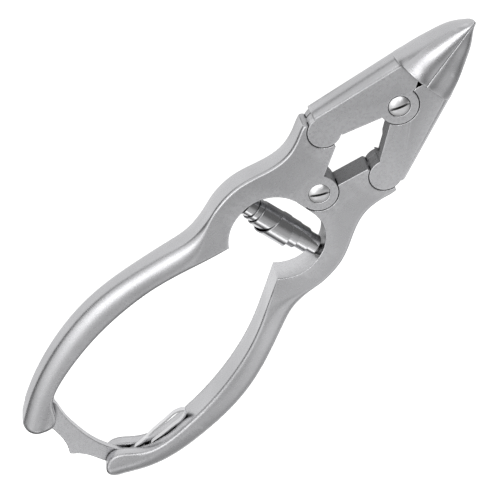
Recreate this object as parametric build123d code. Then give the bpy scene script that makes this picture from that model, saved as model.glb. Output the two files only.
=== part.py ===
from build123d import *
import math
import os

# Double-action nail nipper, closed and latched, lying on its back.
# +X runs along the tool to the tips, +Y points to the left half, +Z is the front.
# All sizes are in millimetres. The numbers below are counted from the jaw pivot, in the
# plane that the tool lies on; the finished parts are moved together, so that the origin
# is under the middle of the whole tool.

# --- driving dimensions -------------------------------------------------------
JOINT_THICK = 6.6           # plates at the four pivots
GRIP_THICK = 7.6            # grips, behind the spring seats
NECK_BEVEL = (0.95, 0.7)    # width and depth of the edge bevel on the necks
ARCH_WIDE = 6.1             # the arched front of the grips, from its outer edge inwards
ARCH_INSET = 0.3            # of that edge from the outer side
ARCH_OUTER_DROP = 1.2       # of the outer and of the inner edge below the crest
ARCH_INNER_DROP = 0.2
ARCH_CREST = (2.6, 0.19)    # a point of the arch near its crest: in from the edge, down
FLAT_CUT = 0.03             # taken off the back of the grips, to make it a true plane
MID_Z = 3.9                 # middle plane of plates, grips, spring and latch
HANDLE_PIVOT = (-28.3, 0.0)
LINK_PIVOT = (-15.3, 9.75)  # left side; the right one is its mirror image
LAP_RADIUS = 4.65           # half-lap discs at the two screws
FORK_RADIUS = 4.0           # jaw fork ends
TONGUE_RADIUS = 3.92        # handle tongues, inside the forks
TONGUE_THICK = 2.2
DISC_GAP = 0.18             # radial gap round every disc
FACE_GAP = 0.03             # between faces that slide on each other
SEAM_GAP = 0.03             # from the middle plane to each cutting edge
CUSP_Y = {1: 8.2, -1: -7.1}  # inner corners between the spring seats and the grips
GRIP_LEAN = 0.012           # both grips lean this much towards the left side
END_LEAN = 0.0035           # and bend that way a little more, past END_LEAN_X
END_LEAN_X = -105.0
RIGHT_END_EXTRA = 0.35      # the right grip's end is this much fuller on its outer side
OPEN_ANGLE = 30.0           # between the handles, wide open
LATCH_ANGLE = 72.0          # latch swing that goes with OPEN_ANGLE

SCREW_RADIUS = 1.7
HEAD_RADIUS = 2.5
HEAD_DEPTH = 1.5
DOME_RISE = 0.65
SCREW_SLOT = (0.62, 0.75)   # width, depth below the top of the dome
OPEN_PIVOT_GAP = 0.12       # round the jaw screw, where the linkage is opened
RUN_GAP = 0.04              # round the other pivots
LINK_PIN_RADIUS = 1.6

SPRING_X = -41.9
SPRING_TILT = 2.5           # degrees; the right end sits nearer the handle pivot
SEAT_Y = 11.7               # depth of the spring seats from the middle
SPRING_HALF_LENGTH = 10.9
STRIP = 0.45                # thickness of the spring strip
STUD_RADIUS = 1.3

SLOT_WIDTH = 1.8            # saw slots in both handle ends
LATCH_THICK = 1.5
LATCH_PIVOT = (-119.4, -11.2)
LATCH_PIN_RADIUS = 0.9
CATCH_PIN = (-117.4, 14.0)
CATCH_PIN_RADIUS = 0.75
SPRING_PIN = (-114.0, -14.1)
SPRING_PIN_RADIUS = 0.5
LEAF_THICK = 0.5
LEAF_WIDTH = 1.3

FRONT_Z = MID_Z + JOINT_THICK / 2
BACK_Z = MID_Z - JOINT_THICK / 2
LINK_PIN_TOP = FRONT_Z - 0.7    # all pins are pressed in from the back, into blind holes
GRIP_PIN_TOP = MID_Z + GRIP_THICK / 2 - 1.2
PIN_RECESS = 0.1            # of their back ends
TALL = 12.0                 # taller than everything, for cutting


# --- helpers ------------------------------------------------------------------
def ramp(x, start, end):
    """0 at start, 1 at end, smooth in between."""
    t = min(1.0, max(0.0, (x - start) / (end - start)))
    return t * t * (3 - 2 * t)


def between(start, end, share):
    return start + (end - start) * share


def place(x, y, side):
    """A point of the left half, or its mirror image, with the grips' lean."""
    lean = GRIP_LEAN * max(0.0, HANDLE_PIVOT[0] - x)
    lean += END_LEAN * max(0.0, END_LEAN_X - x) ** 2
    return (x, side * y + lean)


def prism(face, low, high):
    return Pos(0, 0, low) * extrude(face, amount=high - low)


def disc(centre, radius):
    return Pos(*centre) * Circle(radius)


def rod(centre, radius, low, high):
    return prism(disc(centre, radius), low, high)


def along_spring(offset, shape):
    """Turns a shape's Z axis onto the spring's axis and slides it offset towards +Y."""
    centre = Pos(SPRING_X, place(SPRING_X, 0, 1)[1], MID_Z)
    return centre * Rot(0, 0, SPRING_TILT) * Pos(0, offset, 0) * Rot(-90, 0, 0) * shape


def stud_rod(side, inner):
    """A rod through a seat: from inner short of the seat to 2.4 behind it."""
    length = 2.4 - inner
    middle = SEAT_Y + (2.4 + inner) / 2
    return along_spring(side * middle, Cylinder(STUD_RADIUS, length))


def link_pivot(side):
    return (LINK_PIVOT[0], side * LINK_PIVOT[1])


# --- handles ------------------------------------------------------------------
HANDLE_OUTER = [            # x, y of the outer side, from the shoulder to the end
    (-15.6, 14.9), (-20.0, 14.0), (-25.0, 12.9), (-30.0, 13.8), (-35.0, 15.9),
    (-40.0, 17.4), (-44.5, 17.6), (-50.0, 16.8), (-56.0, 16.6), (-62.0, 18.3),
    (-70.0, 21.0), (-80.0, 23.6), (-90.0, 24.5), (-100.0, 23.8), (-110.0, 21.7),
    (-118.0, 18.5), (-125.5, 14.3),
]


def handle_section(x, y_outer, side):
    """Flat back, crowned outer side; the front is flat on the neck and arched on the grip."""
    thick = JOINT_THICK + (GRIP_THICK - JOINT_THICK) * ramp(x, -31, -47)
    if side < 0:
        y_outer += RIGHT_END_EXTRA * ramp(x, -98, -114)
    grip = ramp(x, -46, -80)
    arch = ramp(x, -48, -64)
    low, high = MID_Z - thick / 2, MID_Z + thick / 2
    y_inner = -7.0 if x > -47 else 3.0
    neck_wide, neck_deep = NECK_BEVEL
    back_wide = neck_wide + 2.85 * grip
    back_deep = neck_deep + 1.5 * grip
    crown = 0.3 + 0.25 * grip
    edge_y = y_outer - ARCH_INSET * arch
    edge_z = high - between(neck_deep, ARCH_OUTER_DROP, arch)
    crest_y = edge_y - between(0.3 * neck_wide, ARCH_CREST[0], arch)
    crest_z = high - between(0.3 * neck_deep, ARCH_CREST[1], arch)
    start_y = edge_y - between(neck_wide, ARCH_WIDE, arch)
    start_z = high - ARCH_INNER_DROP * arch

    def at(y, z):
        return (x, place(x, y, side)[1], z)

    edges = [
        Edge.make_line(at(y_inner, low), at(y_outer - back_wide, low)),
        Edge.make_three_point_arc(at(y_outer - back_wide, low),
                                  at(y_outer - 0.3 * back_wide, low + 0.3 * back_deep),
                                  at(y_outer, low + back_deep)),
        Edge.make_three_point_arc(at(y_outer, low + back_deep),
                                  at(y_outer + 0.75 * crown, (low + back_deep + MID_Z) / 2),
                                  at(y_outer + crown, MID_Z)),
        Edge.make_line(at(y_outer + crown, MID_Z), at(edge_y, edge_z)),
        Edge.make_three_point_arc(at(edge_y, edge_z), at(crest_y, crest_z),
                                  at(start_y, start_z)),
        Edge.make_line(at(start_y, start_z), at(y_inner, start_z)),
        Edge.make_line(at(y_inner, start_z), at(y_inner, low)),
    ]
    return Face(Wire(edges))


def handle_outline(side):
    """Inner outline of a handle; the outer side is cut by the sections."""
    def p(x, y):
        return place(x, y, side)

    cusp = (-52.2, CUSP_Y[side])
    seat = p(-42.8, SEAT_Y)
    neck = p(-33.2, 3.0)
    nose = p(-116.0, 22.0)
    edges = [
        Polyline(neck, p(-33.2, SEAM_GAP), p(-27.0, SEAM_GAP), p(-24.2, 2.1),
                 p(-16.6, 5.1), link_pivot(side), p(-16.3, 13.7), p(-17.0, 14.7),
                 p(-17.0, 30), p(-116.0, 30), nose),
        Spline(nose, p(-120.6, 17.4), p(-123.2, 15.4), p(-124.1, 13.0), p(-123.2, 10.8),
               p(-121.2, 9.5), p(-119.2, 9.3), p(-117.2, 10.3), p(-115.2, 12.6),
               p(-112.4, 15.0), p(-108.0, 16.6), p(-100.0, 17.7), p(-91.0, 18.0),
               p(-80.0, 17.0), p(-70.0, 14.7), p(-60.0, 10.8), cusp),
        ThreePointArc(cusp, p(-48.2, 10.8), seat),
        ThreePointArc(seat, p(-36.3, 9.2), neck),
    ]
    return make_face(edges)


def handle(side):
    """side 1 is the left handle, whose lap disc lies in front."""
    blank = loft([handle_section(x, y, side) for x, y in HANDLE_OUTER])
    outline = handle_outline(side)
    pivot = link_pivot(side)
    fork_room = disc(pivot, FORK_RADIUS + DISC_GAP)
    tongue_low = MID_Z - TONGUE_THICK / 2
    tongue_high = MID_Z + TONGUE_THICK / 2
    grip_low = MID_Z - GRIP_THICK / 2 + FLAT_CUT
    body = blank & prism(outline - fork_room, grip_low, TALL)
    neck = outline & fork_room
    body += prism(neck + disc(pivot, TONGUE_RADIUS), tongue_low, tongue_high)
    body -= rod(pivot, LINK_PIN_RADIUS + RUN_GAP, 0, TALL)
    lap_low, lap_high = lap_layer(side)
    body -= rod(HANDLE_PIVOT, LAP_RADIUS + DISC_GAP, -1, TALL) & opposite_layer(side)
    body += rod(HANDLE_PIVOT, LAP_RADIUS, lap_low, lap_high)
    body -= pivot_hole(HANDLE_PIVOT, side, RUN_GAP)
    body -= stud_rod(side, -1.0)
    body -= end_slot(side)
    if side > 0:
        body -= rod(CATCH_PIN, CATCH_PIN_RADIUS, -1, GRIP_PIN_TOP)
    else:
        body -= rod(LATCH_PIVOT, LATCH_PIN_RADIUS, -1, GRIP_PIN_TOP)
        body -= rod(SPRING_PIN, SPRING_PIN_RADIUS, -1, GRIP_PIN_TOP)
    return body


def lap_layer(side):
    if side > 0:
        return MID_Z + FACE_GAP / 2, FRONT_Z
    return BACK_Z, MID_Z - FACE_GAP / 2


def opposite_layer(side):
    """Everything behind (left side) or in front of (right side) the lap plane."""
    if side > 0:
        return prism(Pos(-20, 0) * Rectangle(80, 60), -1, MID_Z + FACE_GAP / 2)
    return prism(Pos(-20, 0) * Rectangle(80, 60), MID_Z - FACE_GAP / 2, TALL)


def pivot_hole(centre, side, gap):
    """Clearance bore and counterbore on the left, tapped hole on the right."""
    if side < 0:
        return rod(centre, SCREW_RADIUS, -1, TALL)
    bore = rod(centre, SCREW_RADIUS + gap, -1, TALL)
    return bore + rod(centre, HEAD_RADIUS + gap + 0.02, FRONT_Z - HEAD_DEPTH, TALL)


def end_slot(side):
    """Slot between the two walls of a handle end, open inwards and at the nose."""
    if side > 0:
        floor = [(-130, 15.6), (-118.0, 15.6), (-113.0, 17.4), (-111.0, 16.0)]
    else:
        floor = [(-130, 15.9), (-119.4, 15.9), (-116.0, 17.1), (-110.0, 18.6),
                 (-105.0, 19.2), (-103.0, 17.0)]
    mouth = [(floor[-1][0], 4.0), (-130, 4.0)]
    corners = [place(x, y, side) for x, y in floor + mouth]
    slot = make_face(Polyline(*corners, close=True))
    return prism(slot, MID_Z - SLOT_WIDTH / 2, MID_Z + SLOT_WIDTH / 2)


# --- jaws ---------------------------------------------------------------------
ROOT_X = 8.0                # shoulder where the blades stand proud of the plates
ARM_END = (-13.8, 14.75)
ARM_ROOT_Y = {1: 7.95, -1: 8.9}
ARM_BEVEL = 0.25
BLADE = [                   # x, back width and z, middle width, crease width and z, ridge z
    (8.0, 6.3, 0.0, 8.6, 6.75, 8.7, 10.7),
    (10.5, 5.6, 0.0, 7.8, 6.4, 8.5, 10.0),
    (13.0, 4.9, 0.0, 6.9, 5.8, 8.2, 9.5),
    (15.5, 3.9, 0.0, 5.9, 5.0, 7.7, 9.0),
    (18.0, 2.8, 0.0, 4.8, 4.1, 7.2, 8.5),
    (20.5, 1.7, 0.2, 3.6, 3.05, 6.9, 8.0),
    (22.7, 0.7, 1.1, 2.2, 1.8, 6.7, 7.5),
    (24.4, 0.35, 3.0, 1.0, 0.75, 6.7, 7.2),
    (25.6, 0.12, 5.6, 0.2, 0.15, 6.9, 7.0),
]
BLADE_EXTRA = {1: 0.0, -1: 0.35}    # the right blade is this much wider at its root


def jaw_arm_section(x, crown, side):
    """Cross-section of a jaw plate, with a narrow bevel and a crowned outer side."""
    slope = (ARM_ROOT_Y[side] - ARM_END[1]) / (ROOT_X - ARM_END[0])
    y_edge = ARM_ROOT_Y[side] + slope * (x - ROOT_X) - crown
    bevel = ARM_BEVEL

    def at(y, z):
        return (x, side * y, z)

    edges = [
        Edge.make_line(at(-6, BACK_Z), at(y_edge - bevel, BACK_Z)),
        Edge.make_three_point_arc(at(y_edge - bevel, BACK_Z),
                                  at(y_edge - 0.3 * bevel, BACK_Z + 0.3 * bevel),
                                  at(y_edge, BACK_Z + bevel)),
        Edge.make_three_point_arc(at(y_edge, BACK_Z + bevel), at(y_edge + crown + 0.7, MID_Z),
                                  at(y_edge, FRONT_Z - bevel)),
        Edge.make_three_point_arc(at(y_edge, FRONT_Z - bevel),
                                  at(y_edge - 0.3 * bevel, FRONT_Z - 0.3 * bevel),
                                  at(y_edge - bevel, FRONT_Z)),
        Edge.make_line(at(y_edge - bevel, FRONT_Z), at(-6, FRONT_Z)),
        Edge.make_line(at(-6, FRONT_Z), at(-6, BACK_Z)),
    ]
    return Face(Wire(edges))


def jaw_outline(side):
    corners = [(ROOT_X + 0.5, SEAM_GAP), (-2.2, SEAM_GAP), (-13.2, 5.85), LINK_PIVOT,
               (-14.3, 13.6), ARM_END, (-13.8, 20), (ROOT_X + 0.5, 20)]
    return make_face(Polyline(*[(x, side * y) for x, y in corners], close=True))


def blade_section(row, side):
    """Flat seam face, crowned outer side, and a front that rises to the seam."""
    x, back_w, back_z, mid_w, crease_w, crease_z, ridge_z = row
    extra = BLADE_EXTRA[side] * min(1.0, mid_w / 4)
    back_w += extra
    mid_w += extra
    crease_w += extra
    mid_z = (back_z + crease_z) / 2

    def at(y, z):
        return (x, side * (y + SEAM_GAP), z)

    edges = [
        Edge.make_line(at(0, back_z), at(back_w, back_z)),
        Edge.make_three_point_arc(at(back_w, back_z), at(mid_w, mid_z),
                                  at(crease_w, crease_z)),
        Edge.make_three_point_arc(at(crease_w, crease_z),
                                  at(crease_w * 0.55,
                                     crease_z * 0.45 + ridge_z * 0.55 + 0.08 * crease_w),
                                  at(0, ridge_z)),
        Edge.make_line(at(0, ridge_z), at(0, back_z)),
    ]
    return Face(Wire(edges))


def jaw(side):
    """side 1 is the left jaw, whose lap disc lies in front."""
    arm_ends = [jaw_arm_section(-14.6, 0.9, side), jaw_arm_section(ROOT_X + 0.5, 1.4, side)]
    blank = loft(arm_ends, ruled=True)
    pivot = link_pivot(side)
    body = blank & prism(jaw_outline(side), -1, TALL)
    body += rod(pivot, FORK_RADIUS, BACK_Z, FRONT_Z)
    body += loft([blade_section(row, side) for row in BLADE])
    body -= opposite_layer(side) & rod((0, 0), LAP_RADIUS + DISC_GAP, -1, TALL)
    lap_low, lap_high = lap_layer(side)
    body += rod((0, 0), LAP_RADIUS, lap_low, lap_high)
    body -= pivot_hole((0, 0), side, OPEN_PIVOT_GAP)
    slot_low = MID_Z - TONGUE_THICK / 2 - FACE_GAP
    slot_high = MID_Z + TONGUE_THICK / 2 + FACE_GAP
    body -= rod(pivot, FORK_RADIUS + DISC_GAP, slot_low, slot_high)
    runout = [(x, side * y) for x, y in ((-14.0, 4.6), (-5.0, 0.4), (-12.0, 6.9))]
    body -= prism(make_face(Polyline(*runout, close=True)), slot_low, slot_high)
    bevel = [(x, side * y) for x, y in ((-13.2, 5.5), (-12.7, 6.8), (-3.4, 1.9), (-3.4, 0))]
    body -= prism(make_face(Polyline(*bevel, close=True)), -1, slot_low)
    relief = [(x, side * y) for x, y in ((5.2, -0.2), (ROOT_X, -0.2), (ROOT_X, 1.1))]
    body -= prism(make_face(Polyline(*relief, close=True)), MID_Z, FRONT_Z + 0.3)
    body -= rod(pivot, LINK_PIN_RADIUS, -1, LINK_PIN_TOP)
    return body


# --- screws and pins ----------------------------------------------------------
def screw(centre, slot_angle):
    """Slotted dome-head screw, flush at the back."""
    x, y = centre
    dome_radius = (HEAD_RADIUS ** 2 + DOME_RISE ** 2) / (2 * DOME_RISE)
    dome_top = FRONT_Z + DOME_RISE
    ball = Pos(x, y, dome_top - dome_radius) * Sphere(dome_radius)
    head = rod(centre, HEAD_RADIUS, FRONT_Z - HEAD_DEPTH + FACE_GAP, dome_top + 0.5) & ball
    body = head + rod(centre, SCREW_RADIUS, BACK_Z, FRONT_Z - HEAD_DEPTH + 0.2)
    wide, deep = SCREW_SLOT
    cutter = Rot(0, 0, slot_angle) * Box(3 * HEAD_RADIUS, wide, 2 * deep)
    return body - Pos(x, y, dome_top) * cutter


def link_pin(side):
    return rod(link_pivot(side), LINK_PIN_RADIUS, BACK_Z + PIN_RECESS, LINK_PIN_TOP)


def grip_pin(centre, radius):
    return rod(centre, radius, MID_Z - GRIP_THICK / 2 + PIN_RECESS, GRIP_PIN_TOP)


def spring_stud(side):
    """Pressed into the seat, with a domed nib that centres the spring."""
    stud = stud_rod(side, -2.6)
    rounded = stud.edges().filter_by(GeomType.CIRCLE).sort_by(Axis.Y)
    tip = rounded[0] if side > 0 else rounded[-1]
    return fillet(tip, 0.6)


# --- barrel spring ------------------------------------------------------------
COILS = [                   # y of the lower end, outer radius; from right to left
    (-10.9, 2.5), (-8.0, 3.0), (-4.7, 3.45), (-2.3, 3.85), (3.1, 3.5), (7.2, 3.0),
    (8.4, 2.5),
]


def barrel_spring():
    """Double volute of flat strip: each coil is a ring that steps in."""
    ends = [y for y, _ in COILS[1:]] + [SPRING_HALF_LENGTH]
    spring = None
    for (low, radius), high in zip(COILS, ends):
        overlap = 0.3
        low_end = max(low - overlap, -SPRING_HALF_LENGTH)
        high_end = min(high + overlap, SPRING_HALF_LENGTH)
        centre = (low_end + high_end) / 2
        ring = Cylinder(radius, high_end - low_end) - Cylinder(
            radius - STRIP - 0.1, high_end - low_end)
        ring = along_spring(centre, ring)
        spring = ring if spring is None else spring + ring
    return spring


# --- latch --------------------------------------------------------------------
def latch_release_path():
    """Centres of the catch pin seen from the latch, as the handles start to open."""
    steps = 8
    path = []
    for i in range(steps + 1):
        opening = 7.0 * i / steps
        x, y = turned(CATCH_PIN, HANDLE_PIVOT, -opening)
        swing = LATCH_ANGLE / OPEN_ANGLE * opening
        path.append(turned((x, y), LATCH_PIVOT, -swing))
    return path


def turned(point, centre, degrees):
    angle = math.radians(degrees)
    dx, dy = point[0] - centre[0], point[1] - centre[1]
    return (centre[0] + dx * math.cos(angle) - dy * math.sin(angle),
            centre[1] + dx * math.sin(angle) + dy * math.cos(angle))


def latch():
    """Flat plate with a thumb nib, a round heel and a hook over the catch pin."""
    px, py = LATCH_PIVOT
    outer = [(px - 2.3, py + 0.4), (-122.6, -8.6), (-123.2, -5.0), (-123.9, -2.2),
             (-125.4, 0.3)]
    nib = (-125.8, 1.1)
    upper = [(-124.2, 3.0), (-122.9, 5.4), (-122.0, 8.2), (-121.4, 11.0), (-120.6, 14.0),
             (-119.0, 16.0), (-116.9, 16.6)]
    inner = [(-114.9, 15.3), (-114.8, 13.7), (-115.6, 11.8), (-116.8, 9.2), (-118.1, 4.5),
             (-118.9, -1.0), (-118.7, -4.8), (px + 2.0, py + 1.4)]
    edges = [
        Spline(*outer),
        Polyline(outer[-1], nib, upper[0]),
        Spline(*upper),
        Line(upper[-1], inner[0]),
        Spline(*inner),
        ThreePointArc(inner[-1], (px, py - 2.4), outer[0]),
    ]
    plate = make_face(edges)
    room = CATCH_PIN_RADIUS + 0.12
    path = latch_release_path()
    for a, b in zip(path, path[1:]):
        mid = ((a[0] + b[0]) / 2, (a[1] + b[1]) / 2)
        run = math.hypot(b[0] - a[0], b[1] - a[1])
        heading = math.degrees(math.atan2(b[1] - a[1], b[0] - a[0]))
        plate -= Pos(*mid) * (Rot(0, 0, heading) * Rectangle(run, 2 * room))
        plate -= disc(a, room)
    plate -= disc(LATCH_PIVOT, LATCH_PIN_RADIUS + RUN_GAP)
    return prism(plate, MID_Z - LATCH_THICK / 2, MID_Z + LATCH_THICK / 2)


def latch_spring():
    """Flat strip bent to a teardrop loop, its inner end held by a rivet."""
    edges = [
        Spline((-116.8, -14.6), (-114.0, -14.87), (-111.5, -14.8), (-108.0, -15.4),
               (-103.5, -16.1), (-99.9, -16.3), (-98.4, -15.3), (-99.5, -14.0),
               (-102.5, -13.3), (-107.5, -12.7), (-112.0, -12.5), (-116.4, -11.6)),
    ]
    strip = trace(Wire(edges), line_width=LEAF_THICK)
    return prism(strip, MID_Z - LEAF_WIDTH / 2, MID_Z + LEAF_WIDTH / 2)


# --- the parts ----------------------------------------------------------------
PARTS = {
    "handle_left": lambda: handle(1),
    "handle_right": lambda: handle(-1),
    "jaw_left": lambda: jaw(1),
    "jaw_right": lambda: jaw(-1),
    "jaw_screw": lambda: screw((0, 0), -30),
    "handle_screw": lambda: screw(HANDLE_PIVOT, -40),
    "link_pin_left": lambda: link_pin(1),
    "link_pin_right": lambda: link_pin(-1),
    "barrel_spring": barrel_spring,
    "spring_stud_left": lambda: spring_stud(1),
    "spring_stud_right": lambda: spring_stud(-1),
    "latch": latch,
    "latch_pin": lambda: grip_pin(LATCH_PIVOT, LATCH_PIN_RADIUS),
    "catch_pin": lambda: grip_pin(CATCH_PIN, CATCH_PIN_RADIUS),
    "latch_spring": latch_spring,
    "latch_spring_pin": lambda: grip_pin(SPRING_PIN, SPRING_PIN_RADIUS),
}

os.makedirs("parts", exist_ok=True)
shapes = {name: build() for name, build in PARTS.items()}
whole = shapes["jaw_left"].bounding_box()
for shape in shapes.values():
    whole = whole.add(shape.bounding_box())
middle = whole.center()
to_origin = Pos(-middle.X, -middle.Y, -whole.min.Z)
print("moved by", round(-middle.X, 4), round(-middle.Y, 4), round(-whole.min.Z, 4))
for name, shape in shapes.items():
    export_step(to_origin * shape, f"parts/{name}.step")
    print(name, len(shape.solids()), round(shape.volume, 1))
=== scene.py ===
import math

import bpy
from mathutils import Matrix, Vector


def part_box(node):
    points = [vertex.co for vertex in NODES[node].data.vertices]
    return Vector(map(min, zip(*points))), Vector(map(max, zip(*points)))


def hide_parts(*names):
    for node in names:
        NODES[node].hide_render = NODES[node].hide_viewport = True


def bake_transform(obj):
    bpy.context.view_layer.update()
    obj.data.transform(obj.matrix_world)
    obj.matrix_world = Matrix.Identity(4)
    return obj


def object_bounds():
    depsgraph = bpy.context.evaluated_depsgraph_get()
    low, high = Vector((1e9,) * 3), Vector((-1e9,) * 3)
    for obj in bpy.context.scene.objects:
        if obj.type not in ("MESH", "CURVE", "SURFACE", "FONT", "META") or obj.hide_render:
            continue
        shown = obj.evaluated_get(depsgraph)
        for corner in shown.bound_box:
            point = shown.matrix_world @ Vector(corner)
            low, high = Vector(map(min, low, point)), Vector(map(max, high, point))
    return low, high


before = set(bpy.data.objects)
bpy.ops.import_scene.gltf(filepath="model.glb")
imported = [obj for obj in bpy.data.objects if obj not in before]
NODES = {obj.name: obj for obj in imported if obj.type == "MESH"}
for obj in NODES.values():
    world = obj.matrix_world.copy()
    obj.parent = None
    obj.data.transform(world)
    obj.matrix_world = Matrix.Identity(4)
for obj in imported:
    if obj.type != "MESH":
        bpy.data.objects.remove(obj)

CAD_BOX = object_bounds()
MM = 0.001


def midpoint(*names):
    """The middle of the box round several CAD nodes."""
    lows, highs = zip(*(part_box(name) for name in names))
    low = Vector(min(v[i] for v in lows) for i in range(3))
    high = Vector(max(v[i] for v in highs) for i in range(3))
    return (low + high) / 2


def placed(name, data):
    """A new object in the scene that holds a mesh, a lamp or a camera."""
    thing = bpy.data.objects.new(name, data)
    bpy.context.scene.collection.objects.link(thing)
    return thing


# --- camera -------------------------------------------------------------------
# A long lens that looks down on the tool from past its tips and beside its left half.
CAMERA_PLACE = (0.12244, 0.15638, 0.3083)
CAMERA_TURN = (-32.3145, -7.5918, -50.2978)     # degrees about X, Y and Z
FOCAL_LENGTH = 108.0                            # mm, like the sensor's width
SENSOR_WIDTH = 36.0
NEAREST_SEEN = 10.0 * MM

camera_data = bpy.data.cameras.new("camera")
camera_data.lens = FOCAL_LENGTH
camera_data.sensor_width = SENSOR_WIDTH
camera_data.clip_start = NEAREST_SEEN
camera = placed("camera", camera_data)
camera.location = CAMERA_PLACE
camera.rotation_euler = [math.radians(angle) for angle in CAMERA_TURN]
bpy.context.scene.camera = camera


# --- nodes that the materials and the room share ------------------------------
SHADER = "Principled BSDF"
WHITE = (1.0, 1.0, 1.0, 1.0)


def node_tree(owner):
    """The node tree of a new material or world."""
    owner.use_nodes = True
    return owner.node_tree


def feed(tree, node, inputs):
    """Gives a node's inputs, by name or number, constants or other nodes' outputs."""
    for key, value in inputs.items():
        if isinstance(value, bpy.types.NodeSocket):
            tree.links.new(value, node.inputs[key])
        else:
            node.inputs[key].default_value = value


def add(tree, kind, inputs=None, **settings):
    """A new node with its settings and inputs."""
    node = tree.nodes.new("ShaderNode" + kind)
    for key, value in settings.items():
        setattr(node, key, value)
    feed(tree, node, inputs or {})
    return node


def object_place(tree):
    """A point's place in its object, which for a CAD node is its place at rest."""
    return add(tree, "TexCoord").outputs["Object"]


def noise(tree, place, scale, detail, streak=None):
    """A noise texture; a streak factor under 1 draws it out along that axis."""
    if streak:
        place = add(tree, "Mapping", {"Vector": place, "Scale": streak}).outputs["Vector"]
    texture = add(tree, "TexNoise", {"Vector": place, "Scale": scale, "Detail": detail})
    return texture.outputs["Fac"]


def remap(tree, value, old, new):
    """A value carried from one range to another and kept inside it."""
    node = add(tree, "MapRange", {"Value": value, "From Min": old[0], "From Max": old[1],
                                  "To Min": new[0], "To Max": new[1]})
    return node.outputs["Result"]


def ramp(tree, value, stops):
    """Grey by value, with straight blends between stops of (value, grey)."""
    node = add(tree, "ValToRGB", {"Fac": value})
    elements = node.color_ramp.elements
    while len(elements) < len(stops):
        elements.new(0.5)
    for element, (position, grey) in zip(elements, stops):
        element.position = position
        element.color = (grey, grey, grey, 1)
    return node.outputs["Color"]


def mixed(tree, factor, a, b, mode="MIX"):
    """Two colours, mixed or multiplied by a factor."""
    node = add(tree, "Mix", {0: factor}, data_type="RGBA", blend_type=mode)
    colours = [i for i, socket in enumerate(node.inputs) if socket.type == "RGBA"]
    feed(tree, node, dict(zip(colours, (a, b))))
    return next(socket for socket in node.outputs if socket.type == "RGBA")


def times(tree, a, b, share=1.0):
    """A colour multiplied by another, fully or by a share."""
    return mixed(tree, share, a, b, "MULTIPLY")


# --- steels -------------------------------------------------------------------
# A noise is its scale, per metre, and its detail; stops are (value, grey).
CLOUD_NOISE = (90.0, 4.0)
CLOUD_STOPS = [(0.3, 0.0), (0.7, 1.0)]
CLOUD_DARK = 0.93               # shares of the tint
CLOUD_LIGHT = 1.05
GRAIN_NOISE = (5200.0, 2.0)
GRAIN_STOPS = [(0.25, 0.95), (0.75, 1.0)]
GRAIN_SHARE = 0.8
GRAIN_DEPTH = 0.02 * MM
SPECK_NOISE = (1500.0, 3.0)
SPECK_RANGE = (0.3, 0.7)
SPECK_SMOOTHER = 0.02           # how far the specks take the roughness down and up
SPECK_ROUGHER = 0.03
WEAR_POINTINESS = (0.51, 0.58)  # from where an edge starts to be worn to where it is fully so
WEAR_BREAKS = [(0.3, 0.4), (0.6, 1.0)]  # the specks break the wear up
WEAR_LIGHT = 1.35               # share of the tint
GAP_SHADE_REACH = 1.6 * MM          # how far out of a gap or a corner the painted shade reaches
GAP_SHADE_EDGE = 0.18 * MM          # rounds convex edges, so that they don't count as corners
GAP_SHADE_STOPS = [(0.3, 0.04), (0.72, 1.0)]
NOOK_SHADE_REACH = 6.0 * MM           # the same for the wider, fainter painted shade in hollows
NOOK_SHADE_STOPS = [(0.2, 0.5), (0.75, 1.0)]
GRIP_START = 0.0                # along X, the tool's middle, where its necks end
GRIP_BLEND = 14.0 * MM          # from there, how far the grips' rounder shading takes to set in


def scaled(tint, share):
    """A tint times a share, as an opaque colour."""
    return tuple(min(1.0, part * share) for part in tint) + (1,)


def steel_tone(tree, place, tint, worn, fine, specks):
    """Cloudy, grained steel with worn, brighter edges, and painted shade in gaps and hollows."""
    clouds = ramp(tree, noise(tree, place, *CLOUD_NOISE), CLOUD_STOPS)
    tone = mixed(tree, clouds, scaled(tint, CLOUD_DARK), scaled(tint, CLOUD_LIGHT))
    tone = times(tree, tone, ramp(tree, fine, GRAIN_STOPS), GRAIN_SHARE)

    pointiness = add(tree, "NewGeometry").outputs["Pointiness"]
    start, full = WEAR_POINTINESS
    rim = ramp(tree, pointiness, [(start, 0.0), (full, worn)])
    wear = times(tree, rim, ramp(tree, specks, WEAR_BREAKS))
    tone = mixed(tree, wear, tone, scaled(tint, WEAR_LIGHT))

    # Painted shade: ambient occlusion darkens the tone in narrow gaps and corners, and more
    # faintly in wider hollows.
    soft_edge = add(tree, "Bevel", {"Radius": GAP_SHADE_EDGE}, samples=4).outputs["Normal"]
    gap = add(tree, "AmbientOcclusion", {"Distance": GAP_SHADE_REACH, "Normal": soft_edge}, samples=8)
    tone = times(tree, tone, ramp(tree, gap.outputs["AO"], GAP_SHADE_STOPS))
    hollow_shade = add(tree, "AmbientOcclusion", {"Distance": NOOK_SHADE_REACH}, samples=8)
    return times(tree, tone, ramp(tree, hollow_shade.outputs["AO"], NOOK_SHADE_STOPS))


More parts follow.
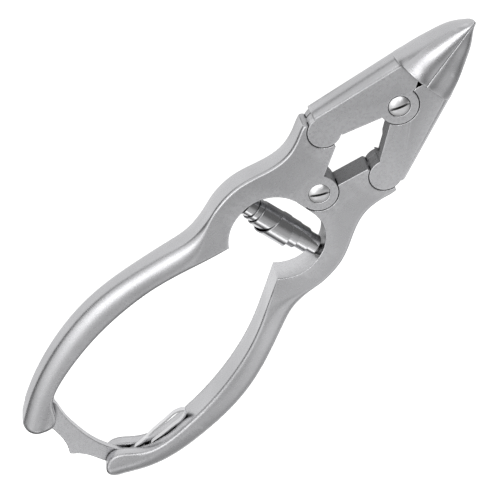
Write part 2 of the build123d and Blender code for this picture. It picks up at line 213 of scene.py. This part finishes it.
def steel(name, tint, rough, grain, edge, worn=0.5, streak=None, grip_edge=None):
    """Bare steel, shaded as if its edges were rounded by edge, and on the grips by grip_edge."""
    material = bpy.data.materials.new(name)
    tree = node_tree(material)
    place = object_place(tree)
    fine = noise(tree, place, *GRAIN_NOISE, streak=streak)
    specks = noise(tree, place, *SPECK_NOISE)
    roughness = remap(tree, specks, SPECK_RANGE, (rough - SPECK_SMOOTHER, rough + SPECK_ROUGHER))

    if grip_edge:
        along_tool = add(tree, "SeparateXYZ", {"Vector": place}).outputs["X"]
        edge = remap(tree, along_tool, (GRIP_START, GRIP_START - GRIP_BLEND), (edge, grip_edge))
    rounded = add(tree, "Bevel", {"Radius": edge}, samples=8).outputs["Normal"]
    bump = add(tree, "Bump", {"Strength": grain, "Distance": GRAIN_DEPTH, "Height": fine,
                              "Normal": rounded})

    tone = steel_tone(tree, place, tint, worn, fine, specks)
    feed(tree, tree.nodes[SHADER], {"Base Color": tone, "Roughness": roughness, "Metallic": 1.0,
                                    "Normal": bump.outputs["Normal"]})
    return material


BARE = (0.6, 0.6, 0.615)
SATIN = steel("satin_steel", BARE, rough=0.28, grain=0.02, edge=0.45 * MM)
GRIP = steel("grip_steel", BARE, rough=0.28, grain=0.02, edge=0.45 * MM, grip_edge=1.5 * MM)
POLISHED = steel("polished_steel", (0.74, 0.74, 0.75), rough=0.33, grain=0.05, edge=0.06 * MM,
                 worn=0.2)
STRIP = steel("spring_strip", (0.78, 0.78, 0.795), rough=0.17, grain=0.12, edge=0.04 * MM,
              worn=0.3, streak=(1.0, 0.04, 1.0))

FINISH = {
    GRIP: ("handle_left", "handle_right"),
    SATIN: ("jaw_left", "jaw_right", "latch"),
    POLISHED: ("jaw_screw", "handle_screw", "link_pin_left", "link_pin_right", "latch_pin",
               "catch_pin", "latch_spring_pin", "spring_stud_left", "spring_stud_right"),
    STRIP: ("barrel_spring", "latch_spring"),
}
for material, names in FINISH.items():
    for name in names:
        NODES[name].data.materials.clear()
        NODES[name].data.materials.append(material)


# --- barrel spring ------------------------------------------------------------
# Lengths are in mm. Each table runs by turns, from the inner end of the strip.
SPRING_TILT = math.radians(2.5)
SPRING_TURNS = 3.62
STRIP_THICK = 0.38
STRIP_LIP = 0.07                # bevel along the strip's edges
INNER_RADIUS = 2.42             # outside of the innermost turn
TURN_STEP = 0.42                # growth of the outer radius per turn
# The strip's two edges along the spring's axis, and how far its turns lie off the axis towards
# the tips.
LEFT_EDGE = [(0.0, 10.8), (0.6, 10.7), (1.25, 8.5), (2.25, 7.2), (2.8, 6.1), (3.0, 5.0),
             (3.25, 3.1), (3.5, 1.3), (SPRING_TURNS, 0.5)]
RIGHT_EDGE = [(0.0, -10.7), (0.6, -10.3), (1.25, -7.9), (2.25, -4.7), (3.0, -3.4),
              (3.25, -2.3), (3.5, -1.3), (SPRING_TURNS, -0.7)]
SLIP = [(0.0, 0.45), (1.5, 0.45), (2.5, 0.2), (3.0, -0.1), (SPRING_TURNS, -0.1)]
STEPS_PER_TURN = 72
SHARP_ANGLE = math.radians(35)


def along(table, turn):
    """Straight lines between the rows of a table of (turn, value)."""
    for (start, first), (end, last) in zip(table, table[1:]):
        if turn <= end:
            return first + (last - first) * (turn - start) / (end - start)
    return table[-1][1]


def strip_section(turn):
    """The strip's bevelled outline at a turn, as (radius, distance along the axis)."""
    outer = INNER_RADIUS + TURN_STEP * turn
    inner = outer - STRIP_THICK
    left, right = along(LEFT_EDGE, turn), along(RIGHT_EDGE, turn)
    return [(inner, right + STRIP_LIP), (inner + STRIP_LIP, right),
            (outer - STRIP_LIP, right), (outer, right + STRIP_LIP),
            (outer, left - STRIP_LIP), (outer - STRIP_LIP, left),
            (inner + STRIP_LIP, left), (inner, left - STRIP_LIP)]


def spiral_strip(name):
    """One strip rolled up from its wide inner end to its narrow outer end."""
    centre = midpoint("barrel_spring")
    tilt = Matrix.Rotation(SPRING_TILT, 3, "Z")
    steps = int(SPRING_TURNS * STEPS_PER_TURN)
    verts = []
    for i in range(steps + 1):
        turn = SPRING_TURNS * i / steps
        angle = turn * 2 * math.pi
        section = strip_section(turn)
        slip = along(SLIP, turn)
        for radius, offset in section:
            local = Vector((slip - radius * math.cos(angle), offset, radius * math.sin(angle)))
            verts.append(centre + tilt @ local * MM)

    count = len(section)
    faces = []
    for i in range(steps):
        for j in range(count):
            a, b = i * count + j, i * count + (j + 1) % count
            faces.append((a, b, b + count, a + count))
    faces.append(tuple(range(count - 1, -1, -1)))
    faces.append(tuple(steps * count + j for j in range(count)))
    mesh = bpy.data.meshes.new(name)
    mesh.from_pydata(verts, [], faces)
    mesh.update()
    for polygon in mesh.polygons:
        polygon.use_smooth = True
    mesh.set_sharp_from_angle(angle=SHARP_ANGLE)
    return placed(name, mesh)


spring = spiral_strip("spring_strip")
spring.data.materials.append(STRIP)
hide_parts("barrel_spring")
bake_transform(spring)


# --- floors -------------------------------------------------------------------
# Two floors lie under the tool: the camera sees one, and the metal mirrors the other. Both glow,
# so that they stay pale under the tool, but the mirrored one is dimmer, with painted shadow under
# the tool's openings and a painted falloff of its glow past the tool's sides.
FLOOR_HALF = 3.0
FLOOR_GAP = 0.05 * MM           # under the tool, and between the floors
FLOOR_ROUGH = 0.9
FLOOR_NOISE = (3.0, 3.0)
FLOOR_STRAY = 0.01              # how far the noise takes the grey down and up
SHADOW_PATCH_EDGE = (0.4, 0.75)        # where a painted shadow patch ends softly, as shares of its diameter
FALLOFF_SQUEEZE = (0.35, 1.0, 0.0)  # makes the painted falloff longer along the tool than across it
SEEN_GLOW = 1.0
MIRRORED_GLOW = 0.84
FLOOR_Z = CAD_BOX[0][2] - FLOOR_GAP
WINDOW = midpoint("jaw_screw", "handle_screw").xy
BAY = midpoint("barrel_spring").xy + Vector((5.0, -2.0)) * MM


def floor(name, z, grey, glow):
    """A large, pale, faintly clouded square that glows."""
    mesh = bpy.data.meshes.new(name)
    corners = [(-1, -1), (1, -1), (1, 1), (-1, 1)]
    mesh.from_pydata([(x * FLOOR_HALF, y * FLOOR_HALF, 0) for x, y in corners], [],
                     [(0, 1, 2, 3)])
    square = placed(name, mesh)
    square.location.z = z
    square.visible_diffuse = False
    square.visible_shadow = False

    material = bpy.data.materials.new(name)
    mesh.materials.append(material)
    tree = node_tree(material)
    clouds = noise(tree, object_place(tree), *FLOOR_NOISE)
    tone = ramp(tree, clouds, [(0.3, grey - FLOOR_STRAY), (0.7, grey + FLOOR_STRAY)])
    feed(tree, tree.nodes[SHADER], {"Base Color": tone, "Roughness": FLOOR_ROUGH,
                                    "Specular IOR Level": 0.0, "Emission Color": WHITE,
                                    "Emission Strength": glow})
    return square


def paint_shadow_patches(square, shadow_patches):
    """Paints shadow on a floor: dims its glow to a share within about a radius of each point."""
    tree = square.active_material.node_tree
    place = object_place(tree)
    glow = WHITE
    inside, outside = SHADOW_PATCH_EDGE
    for (x, y), radius, share in shadow_patches:
        gap = add(tree, "VectorMath", {0: place, 1: (x, y, 0)}, operation="DISTANCE")
        reach = remap(tree, gap.outputs["Value"], (0.0, radius * 2), (0.0, 1.0))
        glow = times(tree, glow, ramp(tree, reach, [(inside, share), (outside, 1.0)]))
    feed(tree, tree.nodes[SHADER], {"Emission Color": glow})


def paint_glow_falloff(square, glow, near, far, share):
    """Paints a falloff of a floor's glow to a share, between two distances from the tool's
    middle.
    """
    tree = square.active_material.node_tree
    squeezed = add(tree, "VectorMath", {0: object_place(tree), 1: FALLOFF_SQUEEZE},
                   operation="MULTIPLY").outputs["Vector"]
    reach = add(tree, "VectorMath", {0: squeezed}, operation="LENGTH").outputs["Value"]
    falling = remap(tree, reach, (near, far), (glow, glow * share))
    feed(tree, tree.nodes[SHADER], {"Emission Strength": falling})


seen = floor("floor", FLOOR_Z, grey=0.5, glow=SEEN_GLOW)
seen.visible_glossy = False

mirrored = floor("floor_in_metal", FLOOR_Z - FLOOR_GAP, grey=0.1, glow=MIRRORED_GLOW)
mirrored.visible_camera = False
# Painted shadows on the mirrored floor, under the window between the jaws and in the spring's
# bay.
paint_shadow_patches(mirrored, [(WINDOW, 12.0 * MM, 0.2), (BAY, 8.0 * MM, 0.15)])
# Painted falloff: the mirrored floor grows darker past the tool's sides.
paint_glow_falloff(mirrored, MIRRORED_GLOW, near=40.0 * MM, far=110.0 * MM, share=0.45)


# --- lamps and room -----------------------------------------------------------
def tipped(tips, left):
    """Straight up, tipped by degrees towards the tips and towards the left half."""
    a, b = math.radians(tips), math.radians(left)
    return (math.sin(a), math.cos(a) * math.sin(b), math.cos(a) * math.cos(b))


# Each lamp is a name, the way to it, its distance and its size in metres, and its radiance.
LAMPS = [
    ("key", tipped(-8, 14), 3.0, (1.8, 1.0), 1.6),
    ("key_tips", tipped(26, 7), 3.0, (1.2, 1.3), 2.5),
    ("key_grips", tipped(-30, 8), 3.0, (1.4, 1.1), 0.25),
    ("key_low", (-0.66, -0.44, 0.61), 3.0, (0.8, 0.8), 0.9),
]
NEAR_LAMP = ("side", tipped(-2, -50), 0.34, (0.36, 0.24), 0.43)

# The room's brightness by direction: each row is an axis and stops of (value, brightness). The
# value is the cosine to the axis, carried from -1..1 to 0..1, and the rows multiply.
ROOM = [
    ((-0.5, 0.87, 0.0), [(0.06, 0.45), (0.34, 0.38), (0.455, 0.5), (0.7, 0.85), (1.0, 0.9)]),
    ((0.6, -0.35, 0.72), [(0.34, 0.12), (0.42, 0.35), (0.5, 1.0)]),
    ((0.9, -0.42, 0.15), [(0.68, 1.0), (0.86, 0.3)]),
]


def softbox(name, towards, distance, size, radiance):
    """A rectangular area light that faces the tool."""
    lamp = bpy.data.lights.new(name, "AREA")
    lamp.shape = "RECTANGLE"
    lamp.size, lamp.size_y = size
    lamp.energy = radiance * math.pi * size[0] * size[1]
    away = Vector(towards).normalized()
    wide = (Vector((1, 0, 0)) - away * away.x).normalized()
    box = placed(name, lamp)
    box.location = away * distance
    box.rotation_euler = Matrix((wide, away.cross(wide), away)).transposed().to_euler()
    return box


def studio(rows):
    """The world, as a plain grey room whose walls are brighter on some sides than on others."""
    world = bpy.data.worlds.new("studio")
    tree = node_tree(world)
    way = add(tree, "TexCoord").outputs["Generated"]
    tone = WHITE
    for towards, stops in rows:
        facing = add(tree, "VectorMath", {0: way, 1: Vector(towards).normalized()},
                     operation="DOT_PRODUCT")
        row = ramp(tree, remap(tree, facing.outputs["Value"], (-1.0, 1.0), (0.0, 1.0)), stops)
        tone = times(tree, tone, row)
    feed(tree, tree.nodes["Background"], {"Color": tone})
    bpy.context.scene.world = world


for lamp in LAMPS:
    softbox(*lamp)
softbox(*NEAR_LAMP).visible_camera = False      # it stands near enough to get into a view
studio(ROOM)
bpy.context.scene.view_settings.view_transform = "Standard"
